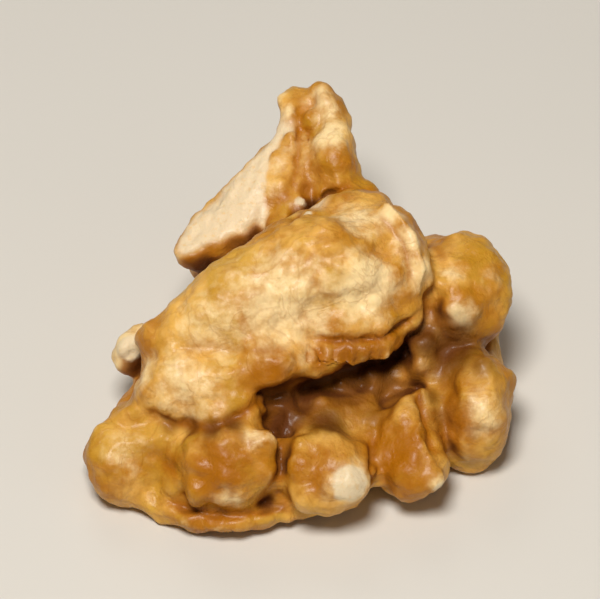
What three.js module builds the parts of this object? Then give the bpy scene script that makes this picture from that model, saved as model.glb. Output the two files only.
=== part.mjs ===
// Walnut kernel: one shelled half, lying on its inner face.
// Millimetres, +Z up. The broad base faces -Y and the apex +Y.
// The origin is under the middle of the kernel, on the surface that it lies on.
import * as THREE from "three";

// Driving dimensions
const WIDTH = 24.7; // across both lobes, along X
const LENGTH = 26; // base to apex, along Y
const HEIGHT = 13.2; // resting surface to the crest, along Z

// Skin over the folds
const FOLD_BLEND = 0.2; // rounding in the furrow between two folds
const CARVE_BLEND = 0.25; // rounding at the lip of a hollow or furrow
const WANDER = 0.25; // how far a fold strays from its route
const WANDER_WAVE = 6.5; // length of that wave
const WANDER_SLANT = 0.7; // how far that wave leans
const LUMP = 0.12; // height of the lumps on a fold
const LUMP_WAVE = 2.9; // distance between lumps
const LUMP_SLANT = 0.4; // how far the rows of lumps lean

// Fineness
const FACET = 0.64; // side of a grid cell, close to the edge of a facet
const GRID_MARGIN = 2; // grid beyond the folds on every side
const CURVE_STEPS = 5; // straight pieces between two points of a route
const FAR = 2; // a fold further off than this leaves a place alone
const SETTLE_ROUNDS = 3; // times that the net is evened out
const PROBE = 0.02; // distance over which the slope is taken
const LEAST_SLOPE = 0.25; // keeps a corner from jumping where the slope is slight
const FLAT_SNAP = 0.04; // corners lower than this lie on the resting surface

// Folds: a rounded ridge along a route of points [across, back, up, radius].
// Across is from the middle, back from the base and up from the resting surface.
const FOLDS = {
  // crest of the kernel
  main_ridge: [
    [-7.2, 8.3, 7.0, 2.2],
    [-4.5, 9.8, 8.6, 2.6],
    [-1.5, 11.0, 9.6, 2.9],
    [1.5, 12.4, 9.9, 3.2],
    [4.4, 13.0, 9.6, 3.0],
  ],
  ridge_crown: [
    [-0.6, 13.9, 9.4, 1.8],
    [2.0, 15.6, 10.0, 2.0],
    [3.6, 16.1, 9.6, 1.9],
  ],
  ridge_shoulder: [
    [-7.6, 7.1, 6.2, 2.1],
    [-5.2, 6.4, 6.6, 2.2],
    [-2.6, 6.9, 7.2, 1.8],
    [0.4, 7.6, 7.4, 1.3],
    [3.0, 8.2, 7.4, 0.9],
    [5.2, 8.9, 7.4, 0.7],
  ],
  ridge_end_rim: [
    [4.6, 16.4, 9.1, 0.7],
    [6.0, 15.4, 9.1, 0.8],
    [6.6, 13.6, 8.6, 0.8],
    [6.2, 12.0, 7.8, 0.7],
  ],
  // knobs along the base
  left_knob: [
    [-10.1, 4.2, 2.0, 2.4],
    [-8.8, 5.0, 3.6, 2.0],
  ],
  left_bump: [
    [-7.6, 3.5, 2.6, 1.3],
    [-7.4, 5.0, 3.6, 1.4],
  ],
  front_left_knob: [
    [-3.9, 2.7, 3.5, 2.65],
    [-4.0, 5.0, 4.6, 2.3],
  ],
  front_middle_knob: [
    [1.9, 1.8, 2.8, 2.1],
    [1.9, 3.6, 3.5, 1.9],
  ],
  front_right_knob: [
    [6.0, 3.3, 2.6, 1.9],
    [5.8, 5.2, 3.3, 1.8],
  ],
  front_right_lip: [
    [6.2, 7.2, 5.4, 0.7],
    [6.9, 6.0, 4.4, 0.75],
    [7.3, 4.6, 3.4, 0.8],
    [7.3, 3.6, 2.6, 0.8],
  ],
  base_rim: [
    [-8.4, 2.4, 1.1, 0.8],
    [-6.2, 0.9, 1.0, 0.8],
    [-4.2, 0.4, 1.0, 0.8],
    [-2.4, 0.9, 1.1, 0.8],
    [-0.8, 1.5, 1.4, 0.9],
    [0.8, 2.2, 1.8, 1.0],
  ],
  base_wall: [
    [-8.0, 5.4, 2.8, 2.0],
    [-4.0, 4.6, 2.4, 2.0],
    [0.0, 3.6, 2.5, 1.9],
    [4.0, 4.8, 2.5, 1.9],
    [8.0, 7.4, 2.8, 2.2],
  ],
  base_floor: [
    [-8.2, 3.8, 1.7, 1.3],
    [-5.0, 2.4, 1.7, 1.4],
    [-1.4, 2.6, 1.8, 1.4],
    [1.0, 2.8, 1.8, 1.4],
  ],
  inner_wall: [
    [-7.0, 6.0, 3.6, 2.4],
    [-3.0, 6.4, 3.8, 2.6],
    [1.0, 6.8, 3.4, 2.4],
    [5.0, 8.4, 3.4, 2.4],
    [8.6, 9.8, 3.6, 2.2],
  ],
  // right lobe
  right_low_knob: [
    [9.6, 7.1, 2.0, 2.45],
    [9.7, 8.2, 4.4, 2.1],
  ],
  right_small_knob: [
    [7.0, 8.6, 5.2, 1.0],
    [7.2, 9.8, 5.0, 1.0],
  ],
  right_high_knob: [
    [9.4, 12.3, 6.4, 2.2],
    [9.5, 13.9, 7.2, 2.3],
    [8.1, 16.0, 6.2, 2.2],
  ],
  right_back: [
    [7.0, 16.6, 3.4, 2.2],
    [4.4, 18.4, 4.2, 2.6],
    [2.4, 19.8, 5.2, 2.4],
  ],
  right_rim: [
    [10.0, 11.0, 2.3, 1.9],
    [9.2, 14.8, 2.3, 2.0],
  ],
  right_back_knob: [
    [6.6, 18.6, 2.3, 2.1],
    [5.6, 17.6, 4.4, 2.0],
  ],
  back_knob: [
    [3.3, 21.8, 2.3, 2.0],
    [2.8, 20.4, 4.8, 2.0],
  ],
  // left lobe
  left_rim: [
    [-9.2, 6.4, 2.2, 1.7],
    [-8.0, 9.4, 2.2, 1.8],
  ],
  left_rim_knob: [
    [-6.4, 13.0, 2.2, 1.9],
    [-5.4, 12.0, 4.0, 1.8],
  ],
  left_back_knob: [
    [-3.6, 17.8, 2.3, 2.1],
    [-2.8, 16.6, 4.4, 2.0],
  ],
  left_back: [
    [-6.4, 10.8, 4.6, 2.2],
    [-4.2, 13.6, 5.6, 2.5],
    [-2.2, 16.6, 6.2, 2.8],
  ],
  left_chip: [
    [-9.8, 10.0, 4.3, 0.9],
    [-8.4, 11.0, 5.0, 1.1],
    [-7.0, 11.2, 4.8, 1.4],
  ],
  // apex
  apex_wall: [
    [-5.9, 16.3, 7.5, 1.3],
    [-4.6, 17.9, 8.5, 1.9],
    [-2.6, 19.6, 9.3, 1.4],
    [-1.1, 21.9, 10.4, 0.9],
    [-0.4, 24.4, 11.5, 0.8],
  ],
  apex_skirt: [
    [-4.9, 17.2, 5.6, 1.5],
    [-3.0, 18.6, 6.4, 1.8],
    [-1.6, 20.4, 7.0, 1.8],
  ],
  apex_bump: [
    [1.15, 24.5, 11.9, 1.15],
    [1.6, 22.6, 11.0, 1.2],
    [2.0, 20.9, 10.0, 1.5],
    [2.2, 19.4, 9.0, 1.8],
  ],
  apex_front: [
    [-2.0, 18.2, 7.6, 1.6],
    [0.4, 18.8, 8.0, 1.9],
    [2.7, 19.0, 8.5, 1.8],
  ],
  apex_root: [
    [0.4, 22.4, 1.9, 2.5],
    [0.4, 21.4, 5.6, 2.6],
    [0.4, 22.9, 9.4, 1.6],
    [0.2, 24.4, 10.9, 1.1],
  ],
  // flesh that joins the two lobes under the folds
  left_flesh: [
    [-6.4, 6.4, 4.2, 2.6],
    [-3.2, 10.4, 5.4, 3.4],
  ],
  right_flesh: [
    [6.6, 10.4, 4.2, 2.6],
    [4.4, 12.6, 5.4, 3.2],
    [2.0, 17.0, 5.4, 3.2],
  ],
  right_fill: [
    [7.4, 11.4, 3.8, 2.4],
    [6.4, 15.0, 3.8, 2.6],
  ],
  bridge: [
    [-3.0, 10.0, 5.8, 3.4],
    [3.2, 11.4, 5.8, 3.4],
  ],
  core: [
    [-2.0, 13.2, 6.2, 2.8],
    [0.6, 15.6, 6.4, 3.0],
    [0.2, 19.4, 5.4, 2.8],
  ],
};

// Carved places: furrows between the folds, and the hollows of the inner face
const CARVED = {
  apex_furrow: [
    [-6.0, 14.3, 6.8, 0.6],
    [-3.0, 15.7, 8.0, 0.7],
    [-0.6, 16.9, 8.9, 0.7],
    [1.2, 18.0, 9.7, 0.5],
    [3.0, 18.9, 10.5, 0.4],
  ],
  apex_valley: [
    [0.1, 25.2, 12.6, 0.6],
    [0.2, 22.9, 11.9, 0.7],
    [0.0, 20.6, 10.8, 0.7],
    [-0.4, 19.2, 9.9, 0.5],
  ],
  recess: [
    [0.8, 6.2, 5.6, 1.4],
    [3.4, 7.0, 5.5, 2.0],
    [6.2, 8.6, 5.7, 1.4],
  ],
  shoulder_furrow: [
    [-8.8, 4.4, 5.2, 0.5],
    [-6.0, 4.4, 5.5, 0.6],
    [-3.6, 5.0, 6.1, 0.6],
    [-1.2, 5.6, 6.2, 0.6],
  ],
  knob_furrow_left: [
    [-7.0, 1.6, 2.8, 0.5],
    [-6.8, 3.0, 4.0, 0.6],
    [-6.2, 4.4, 5.3, 0.5],
  ],
  knob_furrow_middle: [
    [-0.7, 1.0, 2.9, 0.6],
    [-0.8, 2.6, 3.8, 0.7],
    [-1.3, 4.6, 5.1, 0.6],
  ],
  inner_face: [
    [-2.5, 7.0, -6.2, 7.4],
    [0.0, 12.0, -5.8, 7.6],
    [0.5, 16.5, -6.2, 7.4],
  ],
  inner_groove: [
    [-0.3, 4.4, 0.8, 0.9],
    [0.0, 8.0, 1.6, 1.1],
    [0.2, 12.0, 1.8, 1.2],
    [0.4, 17.0, 1.0, 0.9],
  ],
  left_hollow: [
    [-6.4, 6.4, 0.2, 1.5],
    [-5.0, 10.0, 0.8, 1.6],
    [-2.6, 15.6, 0.4, 1.3],
  ],
  right_hollow: [
    [6.0, 7.8, 0.0, 1.4],
    [5.4, 11.4, 0.4, 1.5],
    [3.2, 16.4, 0.4, 1.2],
  ],
  rim_furrows_right: [
    [12.0, 9.6, 1.4, 0.6],
    [8.6, 10.2, 1.0, 0.5],
  ],
  rim_furrows_back: [
    [9.8, 17.2, 2.4, 0.7],
    [5.6, 14.6, 1.8, 0.5],
  ],
  rim_furrows_left: [
    [-10.6, 8.2, 1.4, 0.6],
    [-7.0, 9.0, 1.2, 0.5],
  ],
};

// Breaks: flat faces where folds snapped off, by a point of the face and the way it faces
const BREAKS = [
  {
    folds: ["apex_wall"],
    point: [-4.8, 17.8, 8.9],
    facing: [-0.43, -0.14, 0.89],
  },
  {
    folds: ["left_back"],
    point: [-5.2, 13.6, 5.8],
    facing: [-0.7, 0.42, 0.58],
  },
];

const SKIN = new THREE.MeshStandardMaterial({
  color: 0xc98f3f,
  roughness: 0.45,
  metalness: 0,
});

// Samples of a route as [x, y, z, radius]
function routeOf(points) {
  const curve = new THREE.CatmullRomCurve3(points.map(([x, y, z]) => new THREE.Vector3(x, y, z)));
  const spans = points.length - 1;
  const steps = spans * CURVE_STEPS;
  const samples = [];
  for (let i = 0; i <= steps; i++) {
    const along = (i / steps) * spans;
    const span = Math.min(Math.floor(along), spans - 1);
    const place = curve.getPoint(i / steps);
    const radius = THREE.MathUtils.lerp(points[span][3], points[span + 1][3], along - span);
    samples.push([place.x, place.y, place.z, radius]);
  }
  return samples;
}

// Box round everything that a route takes up
function reachOf(route) {
  const reach = new THREE.Box3();
  for (const [x, y, z, radius] of route) {
    const width = new THREE.Vector3().setScalar(2 * radius);
    reach.union(new THREE.Box3().setFromCenterAndSize(new THREE.Vector3(x, y, z), width));
  }
  return reach;
}

// Distance from a place to the rounded ridge along a route
function ridgeDistance(route, x, y, z) {
  let nearest = Infinity;
  for (let i = 0; i + 1 < route.length; i++) {
    const [ax, ay, az, ar] = route[i];
    const [bx, by, bz, br] = route[i + 1];
    const dx = bx - ax;
    const dy = by - ay;
    const dz = bz - az;
    const along = (x - ax) * dx + (y - ay) * dy + (z - az) * dz;
    const share = THREE.MathUtils.clamp(along / (dx * dx + dy * dy + dz * dz), 0, 1);
    const gap = Math.hypot(x - ax - share * dx, y - ay - share * dy, z - az - share * dz);
    nearest = Math.min(nearest, gap - ar - share * (br - ar));
  }
  return nearest;
}

function planeOf({ point, facing }) {
  return new THREE.Plane().setFromNormalAndCoplanarPoint(
    new THREE.Vector3(...facing).normalize(),
    new THREE.Vector3(...point),
  );
}

const folds = Object.entries(FOLDS).map(([name, points]) => ({
  route: routeOf(points),
  reach: reachOf(routeOf(points)),
  cuts: BREAKS.filter((broken) => broken.folds.includes(name)).map(planeOf),
}));
const carved = Object.values(CARVED).map((points) => ({
  route: routeOf(points),
  reach: reachOf(routeOf(points)),
}));

// Signed distance from a place to the kernel's skin: below zero inside
function kernelDistance(px, py, pz) {
  const turn = (2 * Math.PI) / WANDER_WAVE;
  const x = px + WANDER * Math.sin(turn * (py + WANDER_SLANT * pz));
  const y = py + WANDER * Math.sin(turn * (pz + WANDER_SLANT * px + WANDER_WAVE / 5));
  const z = pz + WANDER * Math.sin(turn * (px + WANDER_SLANT * py + WANDER_WAVE / 3));
  const place = new THREE.Vector3(x, y, z);

  let sum = Math.exp(-FAR / FOLD_BLEND);
  for (const { route, reach, cuts } of folds) {
    if (reach.distanceToPoint(place) > FAR) continue;
    let gap = ridgeDistance(route, x, y, z);
    for (const { normal, constant } of cuts)
      gap = Math.max(gap, normal.x * px + normal.y * py + normal.z * pz + constant);
    sum += Math.exp(-gap / FOLD_BLEND);
  }
  let gap = -FOLD_BLEND * Math.log(sum);

  for (const { route, reach } of carved) {
    if (reach.distanceToPoint(place) > FAR) continue;
    const depth = -ridgeDistance(route, x, y, z);
    gap = CARVE_BLEND * Math.log(Math.exp(gap / CARVE_BLEND) + Math.exp(depth / CARVE_BLEND));
  }

  const lump = (2 * Math.PI) / LUMP_WAVE;
  const lumpAcross = Math.sin(lump * (x + LUMP_SLANT * z));
  const lumpBack = Math.sin(lump * (y - LUMP_SLANT * x));
  const lumpUp = Math.sin(lump * (z + LUMP_SLANT * y));
  gap -= LUMP * lumpAcross * lumpBack * lumpUp;

  // the low points are cut flat by the resting surface
  return Math.max(gap, -pz);
}

// Grid points that can be reached from a start without crossing the zero surface
function reachedFrom(start, field, stride) {
  const inside = field[start] < 0;
  const reached = new Uint8Array(field.length);
  const waiting = [start];
  while (waiting.length) {
    const at = waiting.pop();
    if (!(at in field) || reached[at] || inside !== field[at] < 0) continue;
    reached[at] = 1;
    for (const step of stride) waiting.push(at + step, at - step);
  }
  return reached;
}

// Fills the gaps between grid points that meet only at a corner
function fillNarrowGaps(field, stride, cell) {
  let filled = true;
  while (filled) {
    filled = false;
    for (let at = 0; at + stride[1] + stride[2] < field.length; at++)
      for (let axis = 0; axis < 3; axis++) {
        const side = stride[axis];
        const other = stride[(axis + 1) % 3];
        const [a, b, c, d] = [at, at + side, at + other, at + side + other];
        const inside = field[a] < 0;
        if (inside !== field[d] < 0) continue;
        if (inside === field[b] < 0 || inside === field[c] < 0) continue;
        const [p, q] = inside ? [b, c] : [a, d];
        field[field[p] < field[q] ? p : q] = -cell / 10;
        filled = true;
      }
  }
}

// Makes the field one solid: closed pockets are filled and loose specks dropped
function makeOneSolid(field, stride, cell) {
  fillNarrowGaps(field, stride, cell);
  const outside = reachedFrom(0, field, stride);
  field.forEach((gap, at) => {
    if (gap >= 0 && !outside[at]) field[at] = -cell / 2;
  });
  const deepest = field.reduce((best, gap, at) => (gap < field[best] ? at : best), 0);
  const body = reachedFrom(deepest, field, stride);
  field.forEach((gap, at) => {
    if (gap < 0 && !body[at]) field[at] = cell / 2;
  });
}

// A net of quads over the zero surface, with one corner in each grid cell that the surface crosses
function surfaceNet(distance, box, cell) {
  const low = box.min.toArray();
  const [nx, ny, nz] = box
    .getSize(new THREE.Vector3())
    .toArray()
    .map((side) => Math.ceil(side / cell) + 1);
  const stride = [1, nx, nx * ny];
  const indexOf = (i, j, k) => i + stride[1] * j + stride[2] * k;
  const field = new Float64Array(nx * ny * nz);
  for (let k = 0; k < nz; k++)
    for (let j = 0; j < ny; j++)
      for (let i = 0; i < nx; i++)
        field[indexOf(i, j, k)] = distance(low[0] + i * cell, low[1] + j * cell, low[2] + k * cell);
  makeOneSolid(field, stride, cell);

  const corners = [];
  const cornerOfCell = new Int32Array(field.length).fill(-1);
  for (let k = 0; k + 1 < nz; k++)
    for (let j = 0; j + 1 < ny; j++)
      for (let i = 0; i + 1 < nx; i++) {
        const crossings = new THREE.Vector3();
        let found = 0;
        for (let axis = 0; axis < 3; axis++)
          for (let edge = 0; edge < 4; edge++) {
            const start = [i, j, k];
            start[(axis + 1) % 3] += edge & 1;
            start[(axis + 2) % 3] += edge >> 1;
            const a = field[indexOf(...start)];
            const b = field[indexOf(...start) + stride[axis]];
            if (a < 0 === b < 0) continue;
            start[axis] += a / (a - b);
            crossings.add(new THREE.Vector3(...start));
            found++;
          }
        if (!found) continue;
        cornerOfCell[indexOf(i, j, k)] = corners.length;
        corners.push(crossings.multiplyScalar(cell / found).add(box.min));
      }

  const quads = [];
  for (let k = 1; k + 1 < nz; k++)
    for (let j = 1; j + 1 < ny; j++)
      for (let i = 1; i + 1 < nx; i++) {
        const at = indexOf(i, j, k);
        for (let axis = 0; axis < 3; axis++) {
          const inside = field[at] < 0;
          if (inside === field[at + stride[axis]] < 0) continue;
          const side = stride[(axis + 1) % 3];
          const other = stride[(axis + 2) % 3];
          const ring = [at - side - other, at - other, at, at - side].map((c) => cornerOfCell[c]);
          quads.push(inside ? ring : ring.reverse());
        }
      }
  return { corners, quads };
}

// Moves a corner along the slope of the distance onto the zero surface
function dropOnSurface(corner, distance) {
  const { x, y, z } = corner;
  const slope = new THREE.Vector3(
    distance(x + PROBE, y, z) - distance(x - PROBE, y, z),
    distance(x, y + PROBE, z) - distance(x, y - PROBE, z),
    distance(x, y, z + PROBE) - distance(x, y, z - PROBE),
  ).divideScalar(2 * PROBE);
  corner.addScaledVector(slope, -distance(x, y, z) / Math.max(slope.lengthSq(), LEAST_SLOPE));
}

// Evens out the net and settles each corner on the zero surface
function settle({ corners, quads }, distance) {
  const neighbours = corners.map(() => new Set());
  for (const quad of quads)
    quad.forEach((corner, n) => {
      const next = quad[(n + 1) % 4];
      neighbours[corner].add(next);
      neighbours[next].add(corner);
    });
  for (let round = 0; round < SETTLE_ROUNDS; round++) {
    const evened = corners.map((corner, n) => {
      const middle = new THREE.Vector3();
      for (const neighbour of neighbours[n]) middle.add(corners[neighbour]);
      return middle.divideScalar(neighbours[n].size).add(corner).divideScalar(2);
    });
    evened.forEach((corner, n) => {
      dropOnSurface(corner, distance);
      dropOnSurface(corner, distance);
      corners[n] = corner;
    });
  }
}

// Two triangles for each quad, split along its shorter diagonal
function trianglesOf({ corners, quads }) {
  return quads.flatMap(([a, b, c, d]) => {
    const shorter = corners[a].distanceTo(corners[c]) < corners[b].distanceTo(corners[d]);
    return shorter ? [a, b, c, a, c, d] : [a, b, d, b, c, d];
  });
}

function kernelGeometry() {
  const box = folds.reduce((all, { reach }) => all.union(reach), new THREE.Box3());
  box.expandByScalar(GRID_MARGIN);
  const net = surfaceNet(kernelDistance, box, FACET);
  settle(net, kernelDistance);
  for (const corner of net.corners) if (corner.z < FLAT_SNAP) corner.z = 0;

  const geometry = new THREE.BufferGeometry().setFromPoints(net.corners);
  geometry.setIndex(trianglesOf(net));
  geometry.computeBoundingBox();
  const middle = geometry.boundingBox.getCenter(new THREE.Vector3());
  const drawn = geometry.boundingBox.getSize(new THREE.Vector3());
  geometry.translate(-middle.x, -middle.y, 0);
  geometry.scale(WIDTH / drawn.x, LENGTH / drawn.y, HEIGHT / drawn.z);
  geometry.computeVertexNormals();
  return geometry;
}

const kernel = new THREE.Mesh(kernelGeometry(), SKIN);
kernel.name = "kernel";

const part = new THREE.Group();
part.name = "walnut_kernel";
part.add(kernel);

export default part;
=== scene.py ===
# Walnut kernel: its fine folded skin, finish, pale floor, soft light and camera.
# Metres and +Z up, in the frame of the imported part. The skin is shaped in millimetres.
import math
from itertools import product

import bmesh
import bpy
import numpy as np
from mathutils import Matrix, Vector
from mathutils.bvhtree import BVHTree
from mathutils.kdtree import KDTree


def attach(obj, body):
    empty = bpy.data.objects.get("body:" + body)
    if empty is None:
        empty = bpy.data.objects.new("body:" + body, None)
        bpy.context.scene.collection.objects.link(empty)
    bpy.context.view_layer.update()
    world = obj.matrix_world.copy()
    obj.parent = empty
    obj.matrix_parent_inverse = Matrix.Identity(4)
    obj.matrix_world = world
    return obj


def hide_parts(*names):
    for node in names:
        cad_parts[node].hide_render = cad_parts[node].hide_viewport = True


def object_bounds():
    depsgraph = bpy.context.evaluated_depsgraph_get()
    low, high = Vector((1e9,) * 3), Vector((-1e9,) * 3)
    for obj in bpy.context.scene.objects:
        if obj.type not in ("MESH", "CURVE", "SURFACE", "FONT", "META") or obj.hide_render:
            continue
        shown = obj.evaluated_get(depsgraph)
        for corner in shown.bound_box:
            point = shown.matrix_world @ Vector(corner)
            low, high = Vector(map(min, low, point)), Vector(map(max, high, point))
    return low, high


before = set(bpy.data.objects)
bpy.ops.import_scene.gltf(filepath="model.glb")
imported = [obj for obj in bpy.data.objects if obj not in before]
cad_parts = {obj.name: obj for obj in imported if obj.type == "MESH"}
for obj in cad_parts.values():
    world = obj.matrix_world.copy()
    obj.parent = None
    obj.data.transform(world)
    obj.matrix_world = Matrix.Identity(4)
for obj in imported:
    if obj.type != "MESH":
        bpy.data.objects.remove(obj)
cad_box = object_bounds()

MM = 0.001

# The picture's view
VIEW_ELEVATION = math.radians(45)  # above the horizon, looking along +Y
VIEW_UP = Vector((0, math.sin(VIEW_ELEVATION), math.cos(VIEW_ELEVATION)))
VIEW_LOOK = Vector((0, math.cos(VIEW_ELEVATION), -math.sin(VIEW_ELEVATION)))
VIEW_START = 100  # from the picture's plane back to where looks start, mm
LENS = 300  # millimetres, on a sensor 36 mm wide
CLIP_START = 0.01  # nearest that the camera shows, metres
PICTURE_FILL = 0.8  # share of the picture's height that the kernel takes up

# Fine skin
WELD = 0.001  # corners of the solid's facets nearer than this are joined, mm
LOBE_SUBDIVISIONS = 3  # of the balls that small lobes start as
QUAD = 0.165  # side of a quad, mm
FACET_ROUNDS = 14  # smoothing that takes away the solid's facets
FORM_ROUNDS = 70  # smoothing that leaves the broad form, against which relief is read
RELIEF_GAIN = 0.55  # how much folds and furrows are deepened
FLESH_FLATNESS = 0.8  # share of that gain which broken faces go without
SEED = 11

# Painted shade in closed-in places
SKY_RAYS = 26  # directions in which each point looks for open sky
SKY_REACH = 7.0  # mm
SKY_START = 0.06  # how far off the skin a look starts, mm
SKY_SLANT = 0.1  # least cosine between a look and the skin's normal

# Relief laid over the folds: distance between features and height, mm
LUMPS = (2.5, 0.26)
PEBBLES = (1.7, 0.26)
DIMPLES = (0.95, 0.12)
GRAIN = (0.42, 0.045)
FLESH_GRAIN = (0.55, 0.1)
PEBBLE_ROUNDING = 0.12  # of the creases between pebbles
PEBBLE_LEVEL = 0.3  # taken off the pebbles, so that they don't swell the skin
FLESH_GRAIN_SHIFT = 20  # along each axis, so that flesh has a grain of its own, mm

# Broken faces: a point of the face, the way it faces and how far it reaches, mm
BREAKS = {
    "apex": {"point": (-4.8, 4.9, 8.9), "facing": (-0.43, -0.14, 0.89), "reach": 7.5},
    "left": {"point": (-5.2, 0.7, 5.8), "facing": (-0.7, 0.42, 0.58), "reach": 6.0},
}
BREAK_RIM = 0.85  # share of the reach at which a broken face starts to fade
BREAK_TURN = (0.72, 0.9)  # cosines of the turn away from its facing: none of it, all of it
BREAK_LEVEL = (0.5, 0.9)  # distances from its plane: all of it, none of it, mm

# Places in the picture are across and up, in mm, from the middle of the box's front bottom edge.
# Along the base, from the left, are the left lobe, the disc, the middle knob, the right knob and
# the lower right lobe. Above them are the ridge with its lip, and the hook at the apex.

# Small lobes and filled pockets: place, the way from there to the middle of the ball
# (across, up and towards the viewer) and radius, mm
LOBES = [
    # Left shoulder
    ((-5.5, 7.5), (0, 0, 0.2), 1.1),
    ((-6.4, 7.0), (0, 0, -0.2), 1.0),
    ((-3.3, 7.9), (0, 0, 0.3), 0.9),
    ((-2.6, 7.8), (0, 0, 0), 0.8),
    # Gap between the left lobe and the disc
    ((-7.0, 5.2), (0, 0, -0.2), 1.0),
    ((-6.9, 3.8), (0, 0, -0.2), 1.0),
    # Left side of the disc
    ((-5.4, 5.4), (-0.2, 0, -1.3), 1.2),
    ((-5.4, 4.4), (-0.3, 0, -1.3), 1.3),
    ((-5.3, 3.4), (-0.2, 0, -1.2), 1.2),
    # Gap between the disc and the middle knob
    ((-1.0, 5.4), (0, 0, 0.6), 0.8),
    ((-1.0, 4.6), (0, 0, 0.6), 0.8),
    ((-1.0, 3.8), (0, 0, 0.5), 0.8),
    ((-0.5, 4.9), (0, 0, 0), 0.9),
    ((-0.5, 3.4), (0, 0, 0), 0.9),
    # Right side of the disc
    ((-3.0, 5.4), (0.7, 0, -1.3), 1.1),
    ((-3.0, 4.2), (0.7, 0, -1.3), 1.1),
    # Left side of the middle knob
    ((1.2, 5.4), (-0.9, 0, -1.0), 1.1),
    ((1.2, 4.2), (-0.9, 0, -1.2), 1.2),
    ((1.2, 3.0), (-0.8, 0, -1.2), 1.2),
    # Gap between the ridge and the right lobes
    ((6.7, 9.7), (0, 0, 0.5), 0.9),
    ((7.3, 9.9), (0, 0, 0.3), 1.2),
    ((7.2, 11.2), (0, 0, -0.1), 0.9),
    # Hollow at the foot of the hook
    ((1.5, 20.2), (0, 0, 0.1), 0.7),
    ((2.6, 20.4), (0, 0, -0.3), 0.7),
    # Front of the ridge
    ((-0.4, 12.3), (0, 0, -0.7), 1.2),
    ((0.6, 12.4), (0, 0, -0.6), 1.3),
    ((1.4, 12.7), (0, 0, -0.6), 1.5),
    ((2.2, 12.7), (0, 0, -0.5), 1.5),
    ((3.0, 12.7), (0, 0, -0.5), 1.5),
    ((3.8, 12.8), (0, 0, -0.5), 1.5),
    ((4.5, 12.9), (0, 0, -0.5), 1.5),
    ((5.2, 13.1), (0, 0, -0.5), 1.4),
    ((5.9, 13.4), (0, 0, -0.5), 1.3),
    # Nub
    ((-10.3, 10.7), (0.5, 0.4, -0.3), 0.9),
    ((-10.3, 10.7), (1.2, 0.8, -0.5), 0.9),
    # Lower right lobe
    ((10.2, 7.6), (-0.1, -0.1, -0.9), 1.9),
    ((10.0, 6.2), (0, 0, -0.9), 1.9),
    # Recess
    ((1.2, 8.4), (0, 0, -0.3), 1.1),
    ((2.6, 8.8), (0, 0, -0.2), 1.2),
    ((4.0, 9.0), (0, 0, -0.2), 1.2),
    ((5.4, 9.3), (0, 0, -0.2), 1.1),
    # Step below the recess
    ((0.6, 7.3), (0, 0, -0.9), 1.3),
    ((1.4, 7.1), (0, 0, -0.1), 1.5),
    ((2.4, 7.0), (0, 0, -0.1), 1.5),
    ((3.4, 7.2), (0, 0, -0.3), 1.5),
    # Left of the hook's foot
    ((-0.2, 19.6), (0, 0, 0.2), 0.8),
    ((-1.2, 19.0), (0, 0, 0.4), 0.9),
    # Tip of the hook
    ((1.2, 24.3), (-0.4, 0, -0.5), 0.8),
    # Left strip of the hook
    ((-0.4, 23.0), (0, 0, 0.1), 0.7),
    ((-0.6, 22.0), (0, 0, 0.1), 0.8),
    ((-0.9, 21.0), (0, 0, 0.1), 0.9),
    ((-1.3, 20.2), (0, 0, 0.1), 0.9),
    # Valley of the hook
    ((0.0, 22.3), (0, 0, 0.2), 0.7),
    ((0.0, 21.5), (0, 0, 0.2), 0.8),
    ((0.1, 20.7), (0, 0, 0.1), 0.8),
]

# Places where the folds are softened, with a radius, mm
SOFTENED = [
    # Left shoulder
    ((-5.5, 7.5), 1.6),
    ((-3.3, 8.0), 1.2),
    # Gap between the left lobe and the disc
    ((-7.0, 4.4), 1.4),
    # Top of the lower right lobe
    ((9.4, 8.2), 1.5),
    # Hook
    ((-0.3, 21.4), 1.5),
    ((-0.3, 22.8), 1.0),
    ((-1.5, 20.3), 0.9),
    ((2.6, 20.4), 1.0),
    # Front of the ridge
    ((1.2, 13.4), 1.0),
    ((2.6, 13.7), 1.0),
    ((4.0, 13.9), 1.0),
    ((5.3, 14.2), 1.0),
    # Foot of the lower right lobe
    ((10.1, 5.6), 1.2),
    # Recess and the step below it
    ((0.2, 6.5), 1.2),
    ((1.0, 6.7), 1.2),
    ((0.8, 6.3), 1.0),
    ((1.6, 6.5), 1.1),
    ((2.5, 6.2), 1.0),
    ((1.8, 7.4), 1.2),
    ((2.6, 6.8), 1.3),
    ((4.2, 7.3), 1.2),
    ((5.5, 8.3), 1.0),
]

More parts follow.
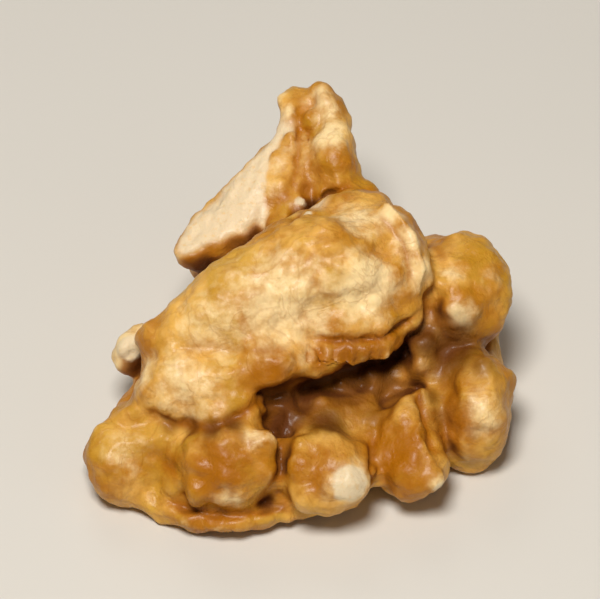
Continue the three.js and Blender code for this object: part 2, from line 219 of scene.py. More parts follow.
# Places where the skin is drawn across, up and towards the viewer, with a radius, mm
PULLS = [
    ((-0.5, 12.4), (0, 0, 0.4), 1.5),  # front of the ridge
    ((2.5, 12.6), (0, 0, 0.4), 1.5),  # front of the ridge
    ((4.6, 13.0), (0, 0, 0.3), 1.3),  # front of the ridge
    ((1.6, 11.4), (0, -0.9, 0.3), 0.9),  # lip of the ridge
    ((3.2, 11.6), (0, -1.3, 0.4), 1.0),  # lip of the ridge
    ((4.8, 11.8), (0, -1.2, 0.4), 0.9),  # lip of the ridge
    ((-1.5, 18.6), (0, -1.4, -0.4), 1.6),  # ridge beside the broken face
    ((-3.8, 16.9), (0, -0.9, -0.3), 1.5),  # ridge beside the broken face
    ((0.5, 19.5), (0, -0.6, -0.2), 1.0),  # ridge beside the hook's foot
    ((-2.5, 17.6), (0, -0.6, -0.2), 1.2),  # ridge beside the broken face
    ((-9.2, 11.0), (0.9, -0.3, 0), 1.3),  # gap beside the nub
    ((-5.3, 19.8), (0.5, -0.3, 0), 0.9),  # left edge of the broken face
    ((-11.2, 6.0), (-0.3, 0.5, 0), 0.9),  # left lobe
    ((7.6, 3.6), (0.3, -0.1, 0.3), 0.7),  # foot of the right knob
    ((-2.0, 2.5), (0, 0, -0.9), 0.5),  # pit at the disc's foot
    ((-2.7, 6.2), (0.1, 0.1, 0.3), 0.9),  # top of the disc
    ((2.6, 8.4), (0, 0, -0.2), 1.8),  # recess
    ((8.3, 14.8), (-0.1, 0, 0.7), 1.4),  # upper right lobe
    ((8.6, 13.4), (0, 0, 0.4), 1.2),  # upper right lobe
    ((8.9, 10.7), (0, 0, -0.8), 1.2),  # gap between the right lobes
    ((10.3, 7.2), (0, 0, 0.3), 1.2),  # lower right lobe
    ((5.2, 16.8), (0, 0, -0.4), 1.1),  # hollow beside the ridge's rim
    ((-0.3, 21.2), (0, 0, 0.4), 1.3),  # valley of the hook
    ((0.1, 19.5), (0, 0, 0.3), 0.4),  # crumb at the hook's foot
    ((0.7, 18.9), (0, 0, 0.3), 0.4),  # crumb at the hook's foot
    ((-1.0, 6.3), (0, 0, 0.3), 0.35),  # point beside the disc
]

# Lines drawn on the skin: route, height (a groove below 0) and half-width, mm
LINES = {
    "hook_crease": ([(-1, 18), (0, 18.9), (1.2, 19.7), (2.4, 20.3), (3.5, 20.8)], -0.3, 0.25),
    "apex_crease": ([(0, 25.5), (0, 23), (-0.3, 21), (-0.5, 19.8)], -0.2, 0.25),
    "ridge_crease": (
        [(0.4, 11.7), (2, 11.5), (3.8, 11.6), (5, 11.8), (6.2, 12.5), (7, 13.2)], -0.5, 0.26,
    ),
    "ridge_fold": ([(-7.5, 11), (-5, 11.2), (-2, 10.9), (0.4, 11.7)], -0.15, 0.35),
    "ridge_rim": ([(4.3, 19.9), (5.4, 18.7), (6.4, 17.5), (6.9, 15.6), (6.7, 14)], 0.3, 0.2),
    "ridge_rim_gap": ([(4, 19.2), (5, 18.2), (5.9, 17.1), (6.3, 15.5), (6.1, 14.2)], -0.2, 0.28),
    "ridge_streak": ([(2.2, 16.4), (3.2, 15.2), (4.7, 13.4)], 0.22, 0.8),
    "shoulder_furrow": (
        [(-8.6, 7.2), (-7, 6.8), (-5, 6.7), (-3.4, 7.3), (-2.4, 8), (0.3, 8.6)], -0.3, 0.4,
    ),
    "disc_edge": ([(-2.0, 6.9), (-1.1, 5.8), (-1.0, 4.4), (-1.3, 3.1)], -0.35, 0.24),
    "rim_furrow": ([(-8, 2.6), (-6.5, 2.1), (-5, 1.7), (-3.3, 1.6), (-1.5, 2)], -0.3, 0.3),
    "base_rim": ([(-8.2, 2), (-7, 1.5), (-5.5, 0.9), (-3.5, 0.9), (-1, 1.4)], 0.15, 0.3),
    "knob_furrow": ([(4.2, 6.4), (4.1, 5), (4.2, 3.4), (4.5, 2.4)], -0.35, 0.3),
    "right_furrow": ([(6.6, 9.2), (7.1, 7.4), (7.4, 5.9), (7.9, 5)], -0.35, 0.3),
    "curl_edge": ([(6.4, 7.3), (6.7, 6.8), (6.6, 6.2), (7.2, 5.2), (7.7, 4.2)], 0.22, 0.26),
}

# Notches in the ridge's ragged lip: places across, both ends, depth and half-width, mm
LIP_NOTCHES = (0.5, 1.2, 1.9, 2.7, 3.3, 4.1, 4.8)
NOTCH_TOP = 11.1
NOTCH_FOOT = 10.1
NOTCH_LEAN = 0.1
NOTCH_DEPTH = 0.25
NOTCH_HALF_WIDTH = 0.17
for across in LIP_NOTCHES:
    route = [(across, NOTCH_TOP), (across - NOTCH_LEAN, NOTCH_FOOT)]
    LINES[f"lip_notch_{across}"] = (route, -NOTCH_DEPTH, NOTCH_HALF_WIDTH)

# How lines are drawn
LINE_STEP = 0.1  # between the spots of a line, mm
LINE_ENDS = (-0.03, 0.2)  # shares of a line, from either end, over which it rises to its height
FULL_CREASE = 0.4  # depth from which a groove takes its full painted shade, mm

# Places where skin laps over a broken face
LAPPED = [
    (-0.4, 22.8), (-0.9, 21.9), (-1.1, 21.0), (-1.2, 20.2), (-1.4, 19.3), (-2.2, 18.2), (-3.1, 17.2),
]
LAP_RADIUS = 0.9  # mm
LAP_EDGE = (0.25, 0.5)  # shares of a place's strength at which the lap starts and is whole

# Patches that are rough, pale with wear and painted highlight, rubbed bare, deep amber with painted
# shade, with their painted shade eased, and of painted shade: place, radius in mm and strength
ROUGH_PATCHES = [
    ((-4, 2.8), 1.3, 1.0),  # foot of the disc
    ((2.9, 10.6), 2.0, 0.8),  # lip of the ridge
    ((-1.8, 2.4), 1.0, 0.8),  # pit at the disc's foot
]
# Pale wear on the knobs, and painted highlight on the ridge's streak, top and rim, the crests and
# shaded places such as under the nub
WEAR_AND_HIGHLIGHT_PATCHES = [
    ((2.9, 3.5), 1.4, 1.2),  # middle knob
    ((-9.9, 5.0), 1.5, 0.5),  # left lobe
    ((-4, 2.6), 1.0, 0.7),  # foot of the disc
    ((10.3, 7.4), 1.3, 0.8),  # lower right lobe
    ((-10.0, 11.0), 1.8, 1.2),  # nub
    ((9.2, 12.8), 1.0, 1.0),  # upper right lobe
    ((7.2, 9.7), 0.7, 0.5),  # gap between the ridge and the right lobes
    ((1.6, 24.8), 0.9, 0.7),  # tip of the hook
    ((0, 22.6), 1.5, 0.4),  # valley of the hook
    ((8.7, 15.4), 0.9, 0.6),  # upper right lobe
    ((7.8, 3.4), 0.6, 0.8),  # foot of the right knob
    ((1.7, 23.5), 1.1, 1.2),  # hook
    ((1.1, 25.6), 0.9, 0.9),  # tip of the hook
    ((3.6, 14.6), 1.8, 1.4),  # streak on the ridge
    ((3.2, 18.4), 1.6, 0.8),  # top of the ridge
    ((5.0, 18.6), 1.0, 0.8),  # rim of the ridge
    ((6.2, 17.2), 1.1, 0.8),  # rim of the ridge
    ((6.8, 15.4), 1.1, 0.9),  # rim of the ridge
    ((-8.9, 9.7), 1.2, 0.7),  # under the nub
    ((10.9, 15.2), 1.1, 0.3),  # upper right lobe
    ((10.0, 6.5), 1.2, 0.6),  # lower right lobe
    ((-1, 13.5), 3.2, 0.9),  # ridge
    ((-5, 12.2), 2.5, 0.6),  # left end of the ridge
    ((-6.5, 9), 2.4, 0.65),  # left shoulder
    ((-2.7, 6.1), 0.7, 0.8),  # top of the disc
    ((-1.6, 23.4), 0.7, 0.9),  # left strip of the hook
    ((-1.2, 21.6), 0.7, 0.6),  # left strip of the hook
    ((-1.5, 20.4), 0.7, 0.5),  # left strip of the hook
    ((-0.9, 24.8), 0.6, 0.9),  # left strip of the hook
]
ABRADED_PATCHES = [
    ((2.9, 3.5), 1.25, 1.0),  # middle knob
    ((7.9, 3.3), 0.5, 0.8),  # foot of the right knob
    # Nub: pale skin, laid over the painted shade so that the nub reads as lit
    ((-9.8, 11.1), 0.9, 0.9),  # nub
    ((0, 19.5), 0.35, 0.9),  # crumb at the hook's foot
    ((0.5, 18.8), 0.3, 0.9),  # crumb at the hook's foot
]
# Deep amber of the skin at the hook, and painted shade on the lip, under the ridge and on the front
# faces of the knobs and lobes
AMBER_AND_SHADE_PATCHES = [
    ((0.6, 20.7), 2.4, 0.6),  # hook
    ((-2.5, 17.6), 1.6, 1.0),  # ridge beside the broken face
    ((5.2, 16.9), 0.9, 0.3),  # hollow beside the ridge's rim
    ((-1.6, 9.6), 1.6, 0.9),  # under the ridge
    ((1.2, 10.6), 1.0, 1.0),  # lip of the ridge
    ((2.7, 10.7), 1.1, 1.0),  # lip of the ridge
    ((4.2, 11.0), 1.1, 1.0),  # lip of the ridge
    ((5.6, 11.5), 0.9, 1.0),  # lip of the ridge
    ((2.5, 19.8), 1.0, 0.6),  # foot of the hook
    ((-10.8, 3.6), 1.6, 0.5),  # foot of the left lobe
    ((-4.4, 4.6), 2.2, 1.0),  # disc
    ((1.0, 4.2), 1.8, 0.9),  # middle knob
    ((5.6, 5.2), 2.4, 0.9),  # right knob
    ((-7.4, 4.6), 1.1, 0.8),  # gap between the left lobe and the disc
    ((-5.5, 1.2), 2.0, 0.6),  # rim of the base
    ((8.6, 7.0), 2.0, 0.8),  # lower right lobe
]
EASED_SHADE = [
    ((-3.2, 16.9), 1.0, 0.8),  # ridge beside the broken face
    ((-4.6, 16.4), 0.8, 0.6),  # ridge beside the broken face
    ((7.5, 14.6), 1.0, 0.6),  # upper right lobe
]
# Painted shade in the recess, the gaps between lobes, the pit, the furrow above the disc and under the
# lip
PAINTED_SHADE_PATCHES = [
    ((2.6, 8.2), 2.4, 0.5),  # recess
    ((-0.4, 7.6), 1.3, 1.0),  # left end of the recess
    ((1.6, 6.8), 1.5, 0.9),  # step below the recess
    ((4.2, 7.2), 1.4, 0.5),  # step below the recess
    ((8.8, 11.0), 2.3, 0.95),  # gap between the right lobes
    ((10.3, 10.2), 1.3, 0.6),  # gap between the right lobes
    ((8.0, 7.2), 1.3, 0.5),  # gap beside the right knob
    ((7.5, 8.2), 0.9, 0.6),  # gap beside the right knob
    ((7.4, 11.5), 1.4, 0.9),  # gap between the ridge and the right lobes
    ((-2.0, 2.5), 0.7, 1.0),  # pit at the disc's foot
    ((-7.4, 6.7), 0.8, 0.5),  # furrow above the disc
    ((-6.2, 6.6), 0.8, 0.7),  # furrow above the disc
    ((-5, 6.6), 0.9, 0.8),  # furrow above the disc
    ((-3.8, 6.8), 0.8, 0.8),  # furrow above the disc
    ((3.2, 10.4), 1.6, 0.35),  # under the lip of the ridge
]

# Where the skin takes its marks
FURROW_DEPTHS = (0.08, 0.7)  # below the broad form, where a furrow's painted shade starts and is darkest, mm
CREASE_SHADE = 0.8  # painted shade of a groove at full depth, where the deepest furrow has 1
CREST_HEIGHTS = (0.15, 0.6)  # above the broad form, where pale wear and painted highlight start and are full, mm
CREST_WEAR_AND_HIGHLIGHT = 0.6  # full pale wear and painted highlight on a crest
RAGGED = (0.7, 0.12)  # edges of rubbed patches: distance between features in mm, and unevenness
RUBBED_EDGE = (0.36, 0.52)  # strengths of a patch at which it starts and is wholly rubbed

# Colours, sRGB
SKIN_LIGHT = (230, 176, 84)
SKIN_MID = (186, 122, 26)
SKIN_OLIVE = (190, 144, 36)
SKIN_AMBER = (166, 98, 4)
# Dark brown of the painted shade in furrows, closed-in folds and shade patches
FURROW_SHADE = (92, 45, 1)
# Pale of wear, and of painted highlight
WEAR_AND_HIGHLIGHT = (255, 228, 172)
ABRADED = (228, 206, 168)
FLESH = (234, 210, 172)
FLOOR = (214, 210, 203)

# Noise in the finish: scale, detail and how much it is warped. Where it lays one tone over
# another, low and high are the values at which that starts and is full
NOISE_ROUGHNESS = 0.55
BROAD_TONES = {"scale": 260, "detail": 3, "low": 0.38, "high": 0.66}
MOTTLE = {"scale": 900, "detail": 4, "distortion": 0.6, "low": 0.44, "high": 0.7}
TINGE = {"scale": 340, "detail": 2, "distortion": 0.5, "low": 0.46, "high": 0.64}
SPECKS = {"scale": 2600, "detail": 3, "low": 0.52, "high": 0.7}
VEIN_NOISE = {"scale": 420, "detail": 3, "distortion": 0.8}
WEAR_AND_HIGHLIGHT_NOISE = {"scale": 1300, "detail": 3}
AMBER_AND_SHADE_NOISE = {"scale": 1100, "detail": 3}
GLOSS_NOISE = {"scale": 1200, "detail": 3}
BUMP_NOISE = {"scale": 2400, "detail": 5}
FLOOR_NOISE = {"scale": 60, "detail": 3}

# Most of each tone that is laid over the skin
MOTTLE_SHARE = 0.4
TINGE_SHARE = 0.5
WEAR_AND_HIGHLIGHT_SHARE = 0.82
AMBER_AND_SHADE_SHARE = 0.9
VEIN_SHARE = 0.22

# Uneven patches: middle range of the noise, how much it adds or takes, and the marks at which
# the patch starts and is full, with the noise and without it
NOISE_MIDDLE = (0.3, 0.7)
UNEVENNESS = 0.2
UNEVEN_EDGE = (0.05, 1.0)
PLAIN_EDGE = (0.02, 0.3)

# Painted shade that marks lay over the skin, in order: where the mark starts and is full, and the share
# of the tone at each
SHADES = [
    ("furrow", SKIN_AMBER, (0.05, 0.6, 0.0, 1.0)),
    ("furrow", FURROW_SHADE, (0.4, 1.0, 0.0, 0.9)),
    ("occlusion", SKIN_AMBER, (0.16, 0.44, 0.0, 0.85)),
    ("occlusion", FURROW_SHADE, (0.3, 0.68, 0.0, 1.0)),
    ("painted_shade", FURROW_SHADE, (0.05, 0.9, 0.0, 0.9)),
]
# Marks where the skin is gone: tone, and the share of golden specks in it
BARE = [("abraded", ABRADED, 0.3), ("flesh", FLESH, 0.35)]

# Roughness: where the noise starts and is full, and the roughness at each
SKIN_GLOSS = (0.3, 0.75, 0.32, 0.54)
FLOOR_GLOSS = (0.3, 0.7, 0.55, 0.7)
# Roughness that marks add, written in the same way, or as a share of the mark
DULLED = [("occlusion", (0.25, 0.6, 0.0, 0.3)), ("furrow", (0.2, 0.8, 0.0, 0.2))]
DULL_MARKS = ("painted_shade", "abraded")
DULL_SHARE = 0.2

VEIN_WIDTH = 0.04  # in values of the noise
VEIN_HEIGHT = 0.12  # against the fine bumps
BUMP_STRENGTH = 0.7
BUMP_DISTANCE = 0.00015  # metres
SKIN_SHADER = {
    "Subsurface Weight": 0.06,
    "Subsurface Radius": (1.0, 0.65, 0.3),
    "Subsurface Scale": 0.0007,
    "Specular IOR Level": 0.22,
    "Coat Weight": 0.14,
    "Coat Roughness": 0.24,
}

# Floor and light, in metres and watts
FLOOR_RADIUS = 1.5
FLOOR_SIDES = 96
LIGHTS = {
    "key": {"place": (-0.03, -0.1, 0.27), "size": 0.1, "power": 0.83, "colour": (1.0, 0.97, 0.92)},
    "fill": {"place": (0.22, -0.16, 0.14), "size": 0.22, "power": 0.05, "colour": (1.0, 0.95, 0.87)},
    "back": {"place": (-0.05, 0.22, 0.22), "size": 0.14, "power": 0.1, "colour": (1.0, 0.95, 0.87)},
}
WORLD_COLOUR = (1.0, 0.93, 0.82, 1.0)
WORLD_STRENGTH = 0.09


def linear(colour):
    """An sRGB colour of 0 to 255 as linear red, green, blue and alpha."""
    share = np.array(colour) / 255
    low = share / 12.92
    high = ((share + 0.055) / 1.055) ** 2.4
    return (*np.where(share <= 0.04045, low, high), 1.0)


def ramp(values, low, high):
    """0 below low, 1 above high and a smooth rise between them."""
    share = np.clip((values - low) / (high - low), 0, 1)
    return share * share * (3 - 2 * share)


class Noise:
    """Smooth seeded noise over space, about -1 to 1."""

    SIZE = 256  # slopes in its table
    GAIN = 1.6  # brings its values to about -1 to 1

    def __init__(self, seed):
        draw = np.random.default_rng(seed)
        self.order = draw.permutation(self.SIZE)
        slopes = draw.normal(size=(self.SIZE, 3))
        self.slopes = slopes / np.linalg.norm(slopes, axis=1)[:, None]

    def slopes_at(self, corners):
        """The slopes drawn for corners of the noise's cells."""
        x, y, z = corners.T % self.SIZE
        mixed = self.order[(self.order[x] + y) % self.SIZE]
        return self.slopes[self.order[(mixed + z) % self.SIZE]]

    def __call__(self, points, wave):
        place = points / wave
        cell = np.floor(place).astype(int)
        inside = place - cell
        ease = inside**3 * (inside * (inside * 6 - 15) + 10)
        total = np.zeros(len(points))
        for corner in np.ndindex(2, 2, 2):
            slope = self.slopes_at(cell + corner)
            weight = np.prod(np.where(corner, ease, 1 - ease), axis=1)
            total += weight * np.sum(slope * (inside - corner), axis=1)
        return self.GAIN * total


class Skin:
    """A net of quads that is shaped by moving its points, in millimetres."""

    def __init__(self, mesh):
        self.points = np.empty((len(mesh.vertices), 3))
        mesh.vertices.foreach_get("co", self.points.ravel())
        self.quads = np.empty((len(mesh.polygons), 4), int)
        mesh.polygons.foreach_get("vertices", self.quads.ravel())
        edges = np.empty((len(mesh.edges), 2), int)
        mesh.edges.foreach_get("vertices", edges.ravel())
        self.starts, self.ends = edges.T
        self.degree = np.bincount(edges.ravel(), minlength=len(self.points))

    def evened(self, values, rounds):
        """Values at the points after rounds of averaging with their neighbours."""
        count = len(self.points)
        values = np.array(values, float)
        for _ in range(rounds):
            sums = np.empty_like(values)
            for column, out in zip(values.reshape(count, -1).T, sums.reshape(count, -1).T):
                out[:] = np.bincount(self.starts, column[self.ends], count)
                out += np.bincount(self.ends, column[self.starts], count)
            degree = self.degree if values.ndim == 1 else self.degree[:, None]
            values = (values + sums / degree) / 2
        return values

    def normals(self):
        a, b, c, d = (self.points[corner] for corner in self.quads.T)
        faces = np.cross(c - a, d - b)
        normals = np.empty_like(self.points)
        for axis in range(3):
            weights = np.repeat(faces[:, axis], 4)
            normals[:, axis] = np.bincount(self.quads.ravel(), weights, len(self.points))
        return normals / np.linalg.norm(normals, axis=1)[:, None]

    def relief(self, broad):
        """How far every point stands out of a broad form."""
        return np.sum((self.points - broad) * self.normals(), axis=1)

    def tree(self):
        return BVHTree.FromPolygons(self.points.tolist(), self.quads.tolist())

    def push(self, heights):
        """Moves every point out along its normal."""
        self.points += heights[:, None] * self.normals()


class Picture:
    """A surface as the picture shows it, so that places in the picture are found on it."""

    def __init__(self, tree, front):
        self.front = Vector((0, front, 0))
        self.tree = tree

    def on_skin(self, place):
        across, up = place
        start = self.front + Vector((across, 0, 0)) + up * VIEW_UP - VIEW_START * VIEW_LOOK
        return self.tree.ray_cast(start, VIEW_LOOK)[0]

    def move(self, way):
        across, up, out = way
        return Vector((across, 0, 0)) + up * VIEW_UP - out * VIEW_LOOK

    def line_on_skin(self, route):
        places = []
        for start, end in zip(route, route[1:]):
            count = max(2, round(math.dist(start, end) / LINE_STEP))
            places += [Vector(start).lerp(Vector(end), n / count) for n in range(count + 1)]
        found = (self.on_skin(place) for place in places)
        return [point for point in found if point]


def add_lobes(mesh, front):
    """Sets the small lobes into a closed surface, as balls that are not yet joined to it."""
    joined = bmesh.new()
    joined.from_mesh(mesh)
    bmesh.ops.remove_doubles(joined, verts=joined.verts, dist=WELD)
    picture = Picture(BVHTree.FromBMesh(joined), front)
    for place, way, radius in LOBES:
        middle = Matrix.Translation(picture.on_skin(place) + picture.move(way))
        bmesh.ops.create_icosphere(joined, subdivisions=LOBE_SUBDIVISIONS, radius=radius, matrix=middle)
    joined.to_mesh(mesh)
    joined.free()


def even_mesh(node, front):
    """The CAD node's surface with its lobes, in millimetres, as small even quads."""
    mesh = node.data.copy()
    mesh.transform(Matrix.Scale(1 / MM, 4))
    add_lobes(mesh, front)
    solid = bpy.data.objects.new("solid", mesh)
    bpy.context.scene.collection.objects.link(solid)
    remesh = solid.modifiers.new("even", "REMESH")
    remesh.mode = "VOXEL"
    remesh.voxel_size = QUAD
    remesh.adaptivity = 0
    made = bpy.data.meshes.new_from_object(solid.evaluated_get(bpy.context.evaluated_depsgraph_get()))
    bpy.data.objects.remove(solid)
    bpy.data.meshes.remove(mesh)
    return made


def around(skin, spot, radius):
    """1 at a spot of the skin, falling away over a radius."""
    return np.exp(-np.sum((skin.points - spot) ** 2, axis=1) / radius**2)


def patches(skin, picture, places):
    """The strongest patch at every point, from places with a radius and a strength."""
    total = np.zeros(len(skin.points))
    for place, radius, strength in places:
        spot = picture.on_skin(place)
        if spot:
            total = np.maximum(total, strength * around(skin, spot, radius))
    return total


def break_mask(skin, point, facing, reach):
    """1 on a broken face, falling to 0 at its edge."""
    facing = np.array(facing) / np.linalg.norm(facing)
    offset = skin.points - point
    near = 1 - ramp(np.linalg.norm(offset, axis=1), BREAK_RIM * reach, reach)
    turned = ramp(skin.evened(skin.normals(), rounds=3) @ facing, *BREAK_TURN)
    level = 1 - ramp(np.abs(offset @ facing), *BREAK_LEVEL)
    return skin.evened(near * turned * level, rounds=2)


def find_flesh(skin, picture):
    """1 on the broken faces, apart from where skin laps over them."""
    flesh = np.zeros(len(skin.points))
    for face in BREAKS.values():
        flesh = np.maximum(flesh, break_mask(skin, **face))
    laps = patches(skin, picture, [(place, LAP_RADIUS, 1) for place in LAPPED])
    return flesh * (1 - ramp(laps, *LAP_EDGE))


def deepen_folds(skin, picture, flesh):
    """Makes folds and furrows deeper. The softened places are smoothed instead."""
    soft = patches(skin, picture, [(place, radius, 1) for place, radius in SOFTENED])
    broad = skin.evened(skin.points, FORM_ROUNDS)
    skin.points += (broad - skin.points) * soft[:, None]
    gain = RELIEF_GAIN * skin.relief(broad)
    skin.push(gain * (1 - FLESH_FLATNESS * flesh) * (1 - soft))


def pull_skin(skin, picture):
    moved = np.zeros_like(skin.points)
    for place, way, radius in PULLS:
        moved += around(skin, picture.on_skin(place), radius)[:, None] * np.array(picture.move(way))
    skin.points += moved


def distance_to(skin, spots):
    """How far every point is from the nearest of a line's spots, and how far along that is."""
    tree = KDTree(len(spots))
    for index, spot in enumerate(spots):
        tree.insert(spot, index)
    tree.balance()
    found = [tree.find(point) for point in skin.points.tolist()]
    along = np.array([index for _, index, _ in found]) / max(1, len(spots) - 1)
    return np.array([distance for _, _, distance in found]), along


def draw_lines(skin, picture, flesh):
    """Raises and cuts the lines. Gives the painted shade of their grooves at every point, 0 to 1."""
    creases = np.zeros(len(skin.points))
    raised = np.zeros(len(skin.points))
    for route, height, width in LINES.values():
        distance, along = distance_to(skin, picture.line_on_skin(route))
        ends = ramp(np.minimum(along, 1 - along), *LINE_ENDS)
        line = np.exp(-((distance / width) ** 2)) * ends
        raised += height * line * (1 - flesh)
        if height < 0:
            creases = np.maximum(creases, line * min(1, -height / FULL_CREASE))
    skin.push(raised)
    return creases


def add_relief(skin, picture, flesh, pebbles, dimples, grain):
    """Lays pebbles and dimples over the skin, and grain over it and the flesh."""
    wave, height = PEBBLES
    rounded = np.hypot(pebbles(skin.points, wave), PEBBLE_ROUNDING) - PEBBLE_LEVEL
    skin.push(height * rounded * (1 - flesh))
    wave, height = DIMPLES
    skin.push(height * dimples(skin.points, wave) * (1 - flesh))
    wave, height = GRAIN
    skin.push(height * grain(skin.points, wave))
    wave, height = FLESH_GRAIN
    rough = np.maximum(flesh, patches(skin, picture, ROUGH_PATCHES))
    skin.push(height * grain(skin.points + FLESH_GRAIN_SHIFT, wave) * rough)


def closed_in(skin):
    """How much of the sky the skin hides from each of its own points, 0 to 1. The finish paints shade
    from it.
    """
    tree = skin.tree()
    normals = skin.evened(skin.normals(), rounds=2)
    starts = (skin.points + SKY_START * normals).tolist()
    occlusion = np.zeros(len(skin.points))
    total = np.zeros(len(skin.points))
    for n in range(SKY_RAYS):
        height = 1 - (2 * n + 1) / SKY_RAYS
        turn = n * math.pi * (3 - math.sqrt(5))
        flat = math.sqrt(1 - height * height)
        ray = (flat * math.cos(turn), flat * math.sin(turn), height)
        facing = normals @ np.array(ray)
        for point in np.flatnonzero(facing > SKY_SLANT).tolist():
            total[point] += facing[point]
            if tree.ray_cast(starts[point], ray, SKY_REACH)[0]:
                occlusion[point] += facing[point]
    return skin.evened(occlusion / np.maximum(total, SKY_SLANT), rounds=4)


def find_marks(skin, picture, flesh, creases, dimples):
    """What the finish reads at every point, each mark by its name."""
    relief = skin.relief(skin.evened(skin.points, FORM_ROUNDS))
    # Painted shade in furrows below the broad form and in drawn grooves
    furrow = np.maximum(ramp(-relief, *FURROW_DEPTHS), CREASE_SHADE * creases)
    # Painted shade where the skin closes in on itself, eased at some places
    occlusion = closed_in(skin) * (1 - patches(skin, picture, EASED_SHADE))
    # Pale wear and painted highlight on crests and at the listed patches
    crests = CREST_WEAR_AND_HIGHLIGHT * ramp(relief, *CREST_HEIGHTS)
    wear_and_highlight = np.maximum(crests, patches(skin, picture, WEAR_AND_HIGHLIGHT_PATCHES))
    wave, unevenness = RAGGED
    rubbed = patches(skin, picture, ABRADED_PATCHES) + unevenness * dimples(skin.points, wave)
    skin_share = 1 - flesh
    return {
        "furrow": furrow * skin_share,
        "occlusion": occlusion * skin_share,
        "wear_and_highlight": wear_and_highlight * skin_share,
        "abraded": ramp(rubbed, *RUBBED_EDGE),
        "amber_and_shade": patches(skin, picture, AMBER_AND_SHADE_PATCHES) * skin_share,
        "painted_shade": patches(skin, picture, PAINTED_SHADE_PATCHES) * skin_share,
        "flesh": flesh,
    }


def shape_skin(skin, front):
    """Takes the facets away, deepens the folds and lays creases, lumps and grain over them."""
    lumps, pebbles, dimples, grain = (Noise(SEED + n) for n in range(4))
    skin.points = skin.evened(skin.points, FACET_ROUNDS)
    picture = Picture(skin.tree(), front)
    flesh = find_flesh(skin, picture)
    deepen_folds(skin, picture, flesh)
    wave, height = LUMPS
    skin.push(height * lumps(skin.points, wave) * (1 - flesh))
    pull_skin(skin, Picture(skin.tree(), front))
    picture = Picture(skin.tree(), front)
    creases = draw_lines(skin, picture, flesh)
    add_relief(skin, picture, flesh, pebbles, dimples, grain)
    skin.points[:, 2] = np.maximum(skin.points[:, 2], 0)
    return find_marks(skin, picture, flesh, creases, dimples)


def skin_object(skin, marks):
    mesh = bpy.data.meshes.new("kernel_skin")
    mesh.from_pydata(skin.points * MM, [], skin.quads.tolist())
    for name, values in marks.items():
        mesh.attributes.new(name, "FLOAT", "POINT").data.foreach_set("value", values)
    mesh.shade_smooth()
    made = bpy.data.objects.new("kernel_skin", mesh)
    bpy.context.scene.collection.objects.link(made)
    return made


class Nodes:
    """Short calls for a material's nodes and links."""

    def __init__(self, name):
        self.material = bpy.data.materials.new(name)
        self.material.use_nodes = True
        self.tree = self.material.node_tree
        self.shader = self.tree.nodes["Principled BSDF"]

    def add(self, kind, settings=(), **inputs):
        node = self.tree.nodes.new("ShaderNode" + kind)
        for key, value in dict(settings).items():
            setattr(node, key, value)
        for key, value in inputs.items():
            self.set(node, key, value)
        return node

    def set(self, node, key, value):
        socket = node.inputs[key]
        if isinstance(value, bpy.types.NodeSocket):
            self.tree.links.new(value, socket)
        else:
            socket.default_value = value

    def mark(self, name):
        return self.add("Attribute", {"attribute_name": name}).outputs["Fac"]

    def noise(self, scale, detail, distortion=0.0):
        node = self.add("TexNoise", Scale=scale, Detail=detail, Distortion=distortion)
        self.set(node, "Roughness", NOISE_ROUGHNESS)
        self.set(node, "Vector", self.add("TexCoord").outputs["Object"])
        return node.outputs["Fac"]

    def spread(self, value, low, high, to_low=0.0, to_high=1.0):
        node = self.add("MapRange", {"interpolation_type": "SMOOTHSTEP"}, Value=value)
        node.inputs["From Min"].default_value = low
        node.inputs["From Max"].default_value = high
        node.inputs["To Min"].default_value = to_low
        node.inputs["To Max"].default_value = to_high
        return node.outputs["Result"]

    def blotches(self, low, high, **noise):
        """Noise as a share that starts at a low value and is full at a high one."""
        return self.spread(self.noise(**noise), low, high)

    def calculate(self, operation, a, b):
        node = self.add("Math", {"operation": operation})
        self.set(node, 0, a)
        self.set(node, 1, b)
        return node.outputs[0]

    def times(self, a, b):
        return self.calculate("MULTIPLY", a, b)

    def plus(self, a, b):
        return self.calculate("ADD", a, b)

    def patchy(self, mark, noise):
        """A mark's share made uneven by noise."""
        uneven = self.plus(mark, self.spread(noise, *NOISE_MIDDLE, -UNEVENNESS, UNEVENNESS))
        return self.times(self.spread(uneven, *UNEVEN_EDGE), self.spread(mark, *PLAIN_EDGE))

    def lines(self, noise, width):
        """Thin lines along which noise crosses its middle value."""
        rise = self.spread(noise, 0.5 - width, 0.5)
        fall = self.spread(noise, 0.5, 0.5 + width, 1.0, 0.0)
        return self.times(rise, fall)

    def mix(self, share, a, b):
        """Colour a with a share of colour b. The node's sockets share names, so they go by number."""
        node = self.add("Mix", {"data_type": "RGBA"})
        self.set(node, 0, share)
        self.set(node, 6, a)
        self.set(node, 7, b)
        return node.outputs[2]


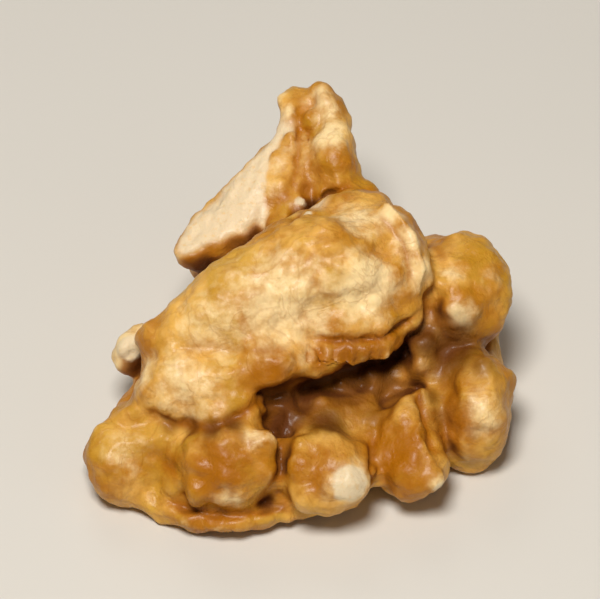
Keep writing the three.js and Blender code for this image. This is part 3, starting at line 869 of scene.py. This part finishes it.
def skin_colour(nodes, veins):
    """Golden skin with amber and olive tones, pale wear with painted highlight, deep amber with painted
    shade, veins, painted shade in furrows and closed-in folds, and bare spots.
    """
    colour = nodes.mix(nodes.blotches(**BROAD_TONES), linear(SKIN_MID), linear(SKIN_LIGHT))
    wear_and_highlight = nodes.patchy(nodes.mark("wear_and_highlight"), nodes.noise(**WEAR_AND_HIGHLIGHT_NOISE))
    amber_and_shade = nodes.patchy(nodes.mark("amber_and_shade"), nodes.noise(**AMBER_AND_SHADE_NOISE))
    tones = (
        (nodes.blotches(**MOTTLE), MOTTLE_SHARE, SKIN_AMBER),
        (nodes.blotches(**TINGE), TINGE_SHARE, SKIN_OLIVE),
        (wear_and_highlight, WEAR_AND_HIGHLIGHT_SHARE, WEAR_AND_HIGHLIGHT),
        (amber_and_shade, AMBER_AND_SHADE_SHARE, SKIN_AMBER),
        (veins, VEIN_SHARE, SKIN_AMBER),
    )
    for where, share, tone in tones:
        colour = nodes.mix(nodes.times(where, share), colour, linear(tone))
    # Painted shade in furrows, closed-in folds and shade patches
    for mark, tone, shares in SHADES:
        colour = nodes.mix(nodes.spread(nodes.mark(mark), *shares), colour, linear(tone))
    specks = nodes.blotches(**SPECKS)
    for mark, tone, share in BARE:
        speckled = nodes.mix(nodes.times(specks, share), linear(tone), linear(SKIN_LIGHT))
        colour = nodes.mix(nodes.mark(mark), colour, speckled)
    return colour


def skin_roughness(nodes):
    roughness = nodes.spread(nodes.noise(**GLOSS_NOISE), *SKIN_GLOSS)
    for mark, shares in DULLED:
        roughness = nodes.plus(roughness, nodes.spread(nodes.mark(mark), *shares))
    for mark in DULL_MARKS:
        roughness = nodes.plus(roughness, nodes.times(nodes.mark(mark), DULL_SHARE))
    return roughness


def skin_material():
    nodes = Nodes("walnut_skin")
    veins = nodes.lines(nodes.noise(**VEIN_NOISE), VEIN_WIDTH)
    height = nodes.plus(nodes.noise(**BUMP_NOISE), nodes.times(veins, VEIN_HEIGHT))
    bump = nodes.add("Bump", Strength=BUMP_STRENGTH, Distance=BUMP_DISTANCE, Height=height)
    nodes.set(nodes.shader, "Base Color", skin_colour(nodes, veins))
    nodes.set(nodes.shader, "Roughness", skin_roughness(nodes))
    nodes.set(nodes.shader, "Normal", bump.outputs["Normal"])
    for key, value in SKIN_SHADER.items():
        nodes.set(nodes.shader, key, value)
    return nodes.material


def floor_material():
    nodes = Nodes("pale_floor")
    nodes.set(nodes.shader, "Base Color", linear(FLOOR))
    nodes.set(nodes.shader, "Roughness", nodes.spread(nodes.noise(**FLOOR_NOISE), *FLOOR_GLOSS))
    return nodes.material


def make_floor():
    bpy.ops.mesh.primitive_circle_add(vertices=FLOOR_SIDES, radius=FLOOR_RADIUS, fill_type="NGON")
    floor = bpy.context.object
    floor.name = "floor"
    floor.data.materials.append(floor_material())


def area_light(name, target, place, size, power, colour):
    light = bpy.data.lights.new(name, "AREA")
    light.shape = "DISK"
    light.size = size
    light.energy = power
    light.color = colour
    made = bpy.data.objects.new(name, light)
    made.location = place
    made.rotation_euler = (target - Vector(place)).to_track_quat("-Z", "Y").to_euler()
    bpy.context.scene.collection.objects.link(made)


def light_scene(middle):
    for name, light in LIGHTS.items():
        area_light(name, middle, **light)
    world = bpy.data.worlds.new("studio")
    world.use_nodes = True
    background = world.node_tree.nodes["Background"]
    background.inputs["Color"].default_value = WORLD_COLOUR
    background.inputs["Strength"].default_value = WORLD_STRENGTH
    bpy.context.scene.world = world
    bpy.context.scene.view_settings.view_transform = "Standard"


def make_camera(low, high):
    """A long lens at the picture's viewing angle, with the kernel in the middle."""
    camera = bpy.data.cameras.new("camera")
    camera.lens = LENS
    camera.clip_start = CLIP_START
    made = bpy.data.objects.new("camera", camera)
    bpy.context.scene.collection.objects.link(made)
    heights = [Vector(corner).dot(VIEW_UP) for corner in product(*zip(low, high))]
    shown = (max(heights) - min(heights)) / PICTURE_FILL
    middle = (low + high) / 2
    made.location = middle - VIEW_LOOK * shown * LENS / camera.sensor_width
    made.rotation_euler = VIEW_LOOK.to_track_quat("-Z", "Y").to_euler()
    bpy.context.scene.camera = made
    return middle


middle = make_camera(*cad_box)
front = cad_box[0].y / MM
skin = Skin(even_mesh(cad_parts["kernel"], front))
marks = shape_skin(skin, front)
kernel_skin = skin_object(skin, marks)
kernel_skin.data.materials.append(skin_material())
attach(kernel_skin, "root")
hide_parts("kernel")
make_floor()
light_scene(middle)
